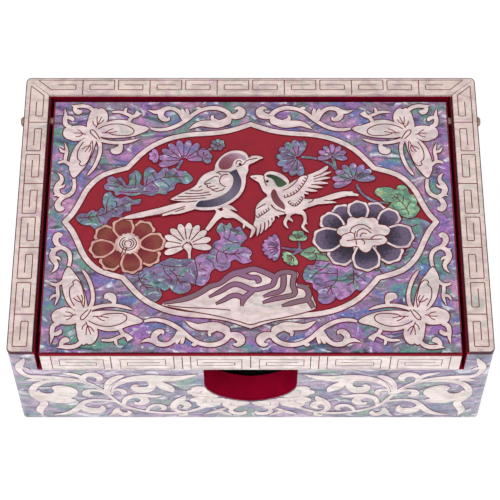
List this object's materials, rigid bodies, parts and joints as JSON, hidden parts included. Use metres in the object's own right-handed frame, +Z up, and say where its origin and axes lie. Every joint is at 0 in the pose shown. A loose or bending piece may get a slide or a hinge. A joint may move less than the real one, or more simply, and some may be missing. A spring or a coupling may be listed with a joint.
{
  "type": "business card holder",
  "caption": "Low lacquered desk box for business cards, inlaid with shell, with a thumb notch in front and a sunk lid that turns up on two pins at the back.",
  "frame": {"origin": "middle of the footprint of the closed box, on the surface that it stands on", "axes": "+Z up, +X along the front to the right, the front with the thumb notch faces -Y"},
  "size_m": [0.1122, 0.076, 0.035],
  "materials": {
    "red_lacquer": "glossy red lacquer",
    "picture_lacquer": "satin red lacquer",
    "abalone": "iridescent shell under clear lacquer",
    "pearl": "white mother-of-pearl under clear lacquer",
    "rose_shell": "brown-red stained shell",
    "violet_shell": "violet stained shell",
    "brass": "dull brass",
    "flock": "black flock",
    "felt": "black felt"
  },
  "bodies": {
    "case": {"base_felt": "felt", "base_board": "red_lacquer", "floor_lining": "flock", "front_wall": "red_lacquer", "back_wall": "red_lacquer", "left_wall": "red_lacquer", "right_wall": "red_lacquer", "shell_front": "abalone", "shell_back": "abalone", "shell_left": "abalone", "shell_right": "abalone", "rim_strip_left": "pearl", "rim_strip_right": "pearl", "rim_strip_back": "pearl", "front_scroll_left": "pearl", "front_scroll_right": "pearl", "left_scroll": "pearl", "right_scroll": "pearl", "back_scroll": "pearl", "hinge_pin_left": "brass", "hinge_pin_right": "brass"},
    "lid": {"lid_board": "red_lacquer", "lid_lip": "red_lacquer", "lip_strip": "pearl", "lid_shell": "abalone", "picture_ground": "picture_lacquer", "cartouche_band": "pearl", "butterfly_back_left": "pearl", "butterfly_back_right": "pearl", "butterfly_front_left": "pearl", "butterfly_front_right": "pearl", "edge_scroll_back_left": "pearl", "edge_scroll_back_right": "pearl", "edge_scroll_front_left": "pearl", "edge_scroll_front_right": "pearl", "end_scroll_back_left": "pearl", "end_scroll_back_right": "pearl", "end_scroll_front_left": "pearl", "end_scroll_front_right": "pearl", "bird_left": "pearl", "bird_right": "pearl", "rose_flower": "rose_shell", "violet_flower": "violet_shell", "violet_flower_heart": "pearl", "daisy": "pearl", "rock": "pearl", "leaf_spray_left": "abalone", "leaf_spray_middle": "abalone", "leaf_upper_left": "abalone", "leaf_upper_right": "abalone", "leaf_violet": "abalone", "fan_flower_left": "abalone", "fan_flower_back": "abalone", "fan_flower_right": "abalone", "fan_flower_small": "abalone", "sprig_right": "abalone"}
  },
  "joints": [
    {"name": "lid_hinge", "type": "hinge", "parent": "case", "child": "lid", "pos_m": [0, 0.0271, 0.0313], "axis": [-1, 0, 0], "range_deg": [0, 115]}
  ]
}
